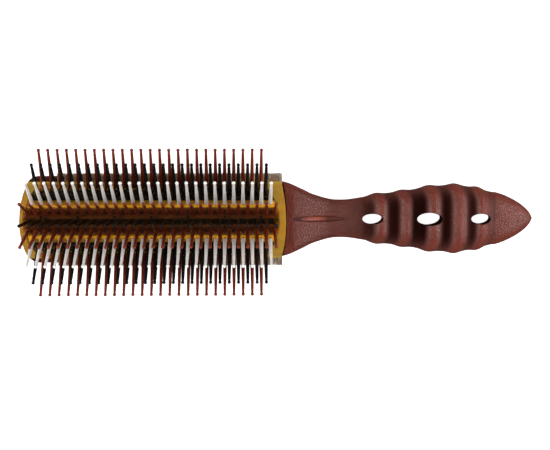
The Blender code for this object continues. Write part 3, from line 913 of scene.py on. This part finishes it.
def painted_light_at(point):
    """The painted light and shade of one place: painted shade near black in the grip holes, a painted
    highlight on the lens groove's floor, and nearer 1 down the sides.
    """
    x, y, z = point
    # Painted shade, near black, on the walls of the grip holes.
    for hole_x, half_length, half_wide in GRIP_HOLES:
        along = (x - hole_x) / (half_length + HOLE_TONE_MARGIN)
        across = y / (half_wide + HOLE_TONE_MARGIN)
        rim = smooth(TOP, x) + RIDGE_HEIGHT * ridge(x) - HOLE_TONE_DEPTH
        if along ** 2 + across ** 2 < 1 and HOLE_TONE_LOW < z < rim:
            return HOLE_TONE
    # A painted highlight along the floor of the lens groove.
    if abs(x - LENS_X) < LENS_TONE_LENGTH * LENS_HALF[0] and abs(y) < LENS_TONE_HALF_WIDTH:
        shallowest, deepest = LENS_TONE_DEPTHS
        if shallowest < top_height(x, y) - z < deepest:
            away = (x - LENS_PAINTED_HIGHLIGHT[0]) / LENS_PAINTED_HIGHLIGHT[1]
            return LENS_TONE[0] + LENS_TONE[1] * max(0.0, 1 - away * away)
    # Elsewhere the painted light and shade of the centreline, fading towards 1 down the sides and
    # underneath.
    wide = half_width(x)
    flat = min(smooth(TOP_FLAT, x), wide * 0.9)
    share = min(1.0, max(0.0, (abs(y) - flat) / (wide - flat)))
    painted_light = painted_light_along(x + RIDGE_SWEEP * share ** 4)
    fade = SIDE_FADE * share ** 4 if z > smooth(SIDE_HIGH, x) else UNDER_FADE
    return painted_light + (1 - painted_light) * fade


# Keep the painted light and shade of each vertex on the mesh, for the handle's colour and shine.
def store_painted_light(item):
    layer = item.data.attributes.new("painted_light", "FLOAT", "POINT")
    layer.data.foreach_set("value", [painted_light_at(vertex.co) for vertex in item.data.vertices])


def handle_stations():
    """Places of the handle's sections along X, close together where it turns fastest."""
    fillet = [TRAY_NOSE + TRAY_FILLET * (1 - math.cos(math.radians(a))) for a in range(0, 90, 9)]
    corner = [TRAY_NOSE + TRAY_FILLET + (TRAY_CORNER - TRAY_FILLET) * i / 8 for i in range(9)]
    start = corner[-1]
    tray = [start + (TRAY_PLAIN_END - start) * i / 12 for i in range(1, 13)]
    count = round((TIP_X - 2 * MM - TRAY_PLAIN_END) / HANDLE_STATION_STEP)
    body = [TRAY_PLAIN_END + HANDLE_STATION_STEP * i for i in range(1, count + 1)]
    tip = [TIP_X - 1.5 * MM * (1 - math.sin(math.radians(a))) for a in range(0, 91, 10)]
    return fillet + corner + tray + [x for x in body if x < tip[0] - 0.1 * MM] + tip


def handle_blank(material):
    bm = bmesh.new()
    skin(bm, [[bm.verts.new(point) for point in handle_ring(x)] for x in handle_stations()])
    return add_bmesh("handle_body", bm, material)


def pocket_outline():
    half = KEY_HALF_WIDTH + FIT_GAP
    hollow = rim_arc(RIM_RADIUS + FIT_GAP, 80)
    top = (hollow[-1][0], 30 * MM)
    right = [(half, CHANNEL_FLOOR), (half, hollow[0][1])] + hollow + [top]
    return right + mirrored(right)


def grip_hole_tool(middle_x, half_length, half_wide):
    """An oval plug that flares gently above and below the middle of the grip."""
    steps = 8
    around = 64
    rings = []
    bm = bmesh.new()
    for step in range(-steps, steps + 1):
        rise = step / steps * HOLE_TOOL_REACH
        flare, power = (HOLE_FLARE, 2) if rise > 0 else (HOLE_FLARE_BELOW, 1.2)
        grow = flare * min(abs(rise) / HOLE_FLARE_RUN, 1.3) ** power
        ring = []
        for i in range(around):
            turn = 2 * math.pi * i / around
            x = middle_x + (half_length + grow) * math.cos(turn)
            y = (half_wide + grow) * math.sin(turn)
            ring.append(bm.verts.new((x, y, HOLE_MIDDLE_Z + rise)))
        rings.append(ring)
    skin(bm, rings)
    return add_bmesh("grip_hole", bm)


def top_height(x, y):
    """Height of the neck's upper surface at (x, y)."""
    wide = half_width(x)
    flat = smooth(TOP_FLAT, x)
    share = min(1.0, max(0.0, (abs(y) - flat) / (wide - flat)))
    high = smooth(SIDE_HIGH, x)
    return high + (smooth(TOP, x) - high) * math.sqrt(1 - share * share)


NECK_CREASE = in_mm((5.5, 14.3), (10.7, 11.8), (15.0, 10.2), (19.8, 8.9), (26.9, 7.6), (35, 7.6))
CREASE_RADIUS = 0.5 * MM


def crease_section(t, side):
    """Middle and half sizes of the fine crease beside the neck, at share t of its length."""
    x0 = NECK_CREASE[0][0]
    x = x0 + (NECK_CREASE[-1][0] - x0) * t
    y = smooth(NECK_CREASE, x)
    lift = CREASE_RADIUS * (0.05 + 0.9 * max(0.0, 2 * t - 1) ** 2)
    return Vector((x, side * y, top_height(x, y) + lift)), CREASE_RADIUS, CREASE_RADIUS


def lens_section(t, side):
    """The same for the long sunk lens on the neck's centreline."""
    u = side * (2 * t - 1)
    x = LENS_X + LENS_HALF[0] * u
    share = max(0.01, 1 - u * u)
    middle = Vector((x, 0, top_height(x, 0)))
    return middle, LENS_HALF[1] * share ** 0.8, LENS_HALF[2] * share ** 0.7


def groove_tool(section, side=1):
    """A rod of changing oval section, laid along the surface to sink a groove."""
    steps = 48
    around = 24
    bm = bmesh.new()
    rings = []
    for i in range(steps + 1):
        centre, half_wide, half_deep = section(i / steps, side)
        ring = []
        for k in range(around):
            turn = 2 * math.pi * k / around
            across, down = math.cos(turn), math.sin(turn)
            offset = Vector((0, half_wide * math.copysign(abs(across) ** 0.6, across),
                             half_deep * math.copysign(abs(down) ** 0.6, down)))
            ring.append(bm.verts.new(centre + offset))
        rings.append(ring)
    skin(bm, rings)
    return add_bmesh("groove", bm)


def make_handle(material):
    """Grip, neck and tray as one moulding."""
    handle = handle_blank(material)
    pocket = swept_section("pocket", pocket_outline(), NOSE_X - 5 * MM, 5 * MM)
    cut(pocket, plan_block(grow=3 * FIT_GAP), "INTERSECT")
    cut(handle, pocket)
    rebates = bmesh.new()
    low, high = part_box("bristle_pack_left")
    inner = KEY_HALF_WIDTH - FIT_GAP
    for y0, y1 in ((inner, 26 * MM), (-26 * MM, -inner)):
        add_box(rebates, low.x - FIT_GAP, REBATE_END, y0, y1, REBATE_FLOOR, 20 * MM)
    cut(handle, add_bmesh("rebates", rebates))
    for hole in GRIP_HOLES:
        cut(handle, grip_hole_tool(*hole))
    cut(handle, groove_tool(lens_section))
    for side in (1, -1):
        cut(handle, groove_tool(crease_section, side))
    store_painted_light(handle)
    return place(handle, "handle_plastic", "handle")


# ---------------------------------------------------------------- stage

# Lights as (name, place, target, size, power)
SOFTBOXES = (
    ("left_softbox", (-0.52, 0.00, 0.50), (-0.02, 0, 0), (0.55, 0.16), 3.2),
    ("right_softbox", (0.62, 0.00, 0.50), (0.03, 0, 0), (0.55, 0.20), 3.6),
)
OVERHEAD_LIGHT = ("overhead", (-0.06, 0.05, 0.90), (-0.06, 0, 0), (0.50, 0.50), 3.0)
GRIP_LIGHTS = (
    ("grip_left", (-0.54, 0.0, 1.00), (0.07, 0, 0), (0.80, 0.12), 2.7),
    ("grip_right", (0.64, 0.0, 0.50), (0.07, 0, 0), (0.50, 0.09), 1.5),
)
WORLD_GLOW = 0.10
FLOOR_REACH = 3.0
FLOOR_DROP = 0.2 * MM
CAMERA_PLACE = (-0.0192, 0.0458, 0.6000)
CAMERA_TARGET = (-0.0025, -0.0030, 0.0080)
CAMERA_LENS = 82.05


def add_area_light(name, location, target, size, power, only=None):
    """A rectangular light. It falls on every piece, or on the given ones only."""
    light = bpy.data.lights.new(name, "AREA")
    light.shape = "RECTANGLE"
    light.size, light.size_y = size
    light.energy = power
    item = bpy.data.objects.new(name, light)
    item.location = location
    item.rotation_euler = (Vector(target) - Vector(location)).to_track_quat("-Z", "Y").to_euler()
    bpy.context.scene.collection.objects.link(item)
    if only:
        lit = bpy.data.collections.new(name + "_lights")
        for piece in only:
            lit.objects.link(piece)
        item.light_linking.receiver_collection = lit


def make_stage():
    """The table, the softboxes, and a world that is dim but that the camera sees as white."""
    bm = bmesh.new()
    bmesh.ops.create_grid(bm, x_segments=4, y_segments=4, size=FLOOR_REACH)
    floor = add_bmesh("floor", bm, studio_floor())
    floor.location.z = -FLOOR_DROP
    floor.visible_glossy = False
    world = bpy.data.worlds.new("studio")
    world.use_nodes = True
    nodes = world.node_tree.nodes
    links = world.node_tree.links
    dim = nodes["Background"]
    dim.inputs["Color"].default_value = (1, 1, 1, 1)
    dim.inputs["Strength"].default_value = WORLD_GLOW
    backdrop = nodes.new("ShaderNodeBackground")
    backdrop.inputs["Color"].default_value = (1, 1, 1, 1)
    path = nodes.new("ShaderNodeLightPath")
    mix = nodes.new("ShaderNodeMixShader")
    links.new(path.outputs["Is Camera Ray"], mix.inputs["Fac"])
    links.new(dim.outputs["Background"], mix.inputs[1])
    links.new(backdrop.outputs["Background"], mix.inputs[2])
    links.new(mix.outputs["Shader"], nodes["World Output"].inputs["Surface"])
    bpy.context.scene.world = world
    for softbox in SOFTBOXES:
        add_area_light(*softbox)
    bpy.context.scene.view_settings.view_transform = "Standard"


def light_pale_pins(strips):
    """A broad overhead light that keeps the pale pins near white."""
    add_area_light(*OVERHEAD_LIGHT, strips)


def light_grip(handle):
    """Two strips of light, from the nose's side and the tip's, that brighten the handle alone."""
    for light in GRIP_LIGHTS:
        add_area_light(*light, [handle])


def make_camera():
    camera = bpy.data.cameras.new("camera")
    camera.sensor_width = 36.0
    camera.lens = CAMERA_LENS
    camera.clip_start = 0.01
    item = bpy.data.objects.new("camera", camera)
    item.location = CAMERA_PLACE
    back = (Vector(CAMERA_PLACE) - Vector(CAMERA_TARGET)).normalized()
    right = Vector((0, 1, 0)).cross(back).normalized()
    item.rotation_euler = Matrix((right, back.cross(right), back)).transposed().to_euler()
    bpy.context.scene.collection.objects.link(item)
    bpy.context.scene.camera = item


# ---------------------------------------------------------------- assembly

# Nylon of each colour as its darkest and lightest colour, roughness and specular level
NYLON_LOOKS = {
    "red": ((0.195, 0.024, 0.010), (0.285, 0.041, 0.017), 0.30, 0.35),
    "black": ((0.001, 0.001, 0.0012), (0.003, 0.003, 0.0035), 0.16, 0.28),
    "white": ((0.88, 0.86, 0.82), (0.96, 0.94, 0.91), 0.36, 0.35),
}


def repaint(node, material):
    """Give a CAD node that stays in view its finish."""
    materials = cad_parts[node].data.materials
    materials.clear()
    materials.append(material)


def build():
    brown = handle_plastic("handle_plastic", True)
    rail_brown = handle_plastic("rail_plastic", False)
    clear_amber = amber_shell()
    deep_amber = amber_core()
    nylons = {colour: nylon(PIN_SLOTS[colour], *look) for colour, look in NYLON_LOOKS.items()}
    hair = bristle_hair()
    make_camera()
    make_stage()
    light_grip(make_handle(brown))
    end_amber = amber_plate()
    make_plate("nose_face", "nose_plate", NOSE_X - MM, NOSE_X + PLATE_THICKNESS, end_amber)
    make_plate("tail_face", "tail_plate", TAIL_X - PLATE_THICKNESS, TAIL_X + MM, end_amber)
    strips = [make_pin_strip(row, nylons[colour]) for row, colour in enumerate(ROW_COLOURS)]
    light_pale_pins([strips[row] for row, colour in enumerate(ROW_COLOURS) if colour == "white"])
    make_shell(clear_amber)
    make_vent_shade_sleeves(nylons["black"])
    for name, side in (("left", 1), ("right", -1)):
        make_bristles(f"bristles_{name}", f"bristle_pack_{name}", side, hair)
    repaint("barrel_core", deep_amber)
    repaint("bristle_rail_left", rail_brown)
    repaint("bristle_rail_right", rail_brown)


build()
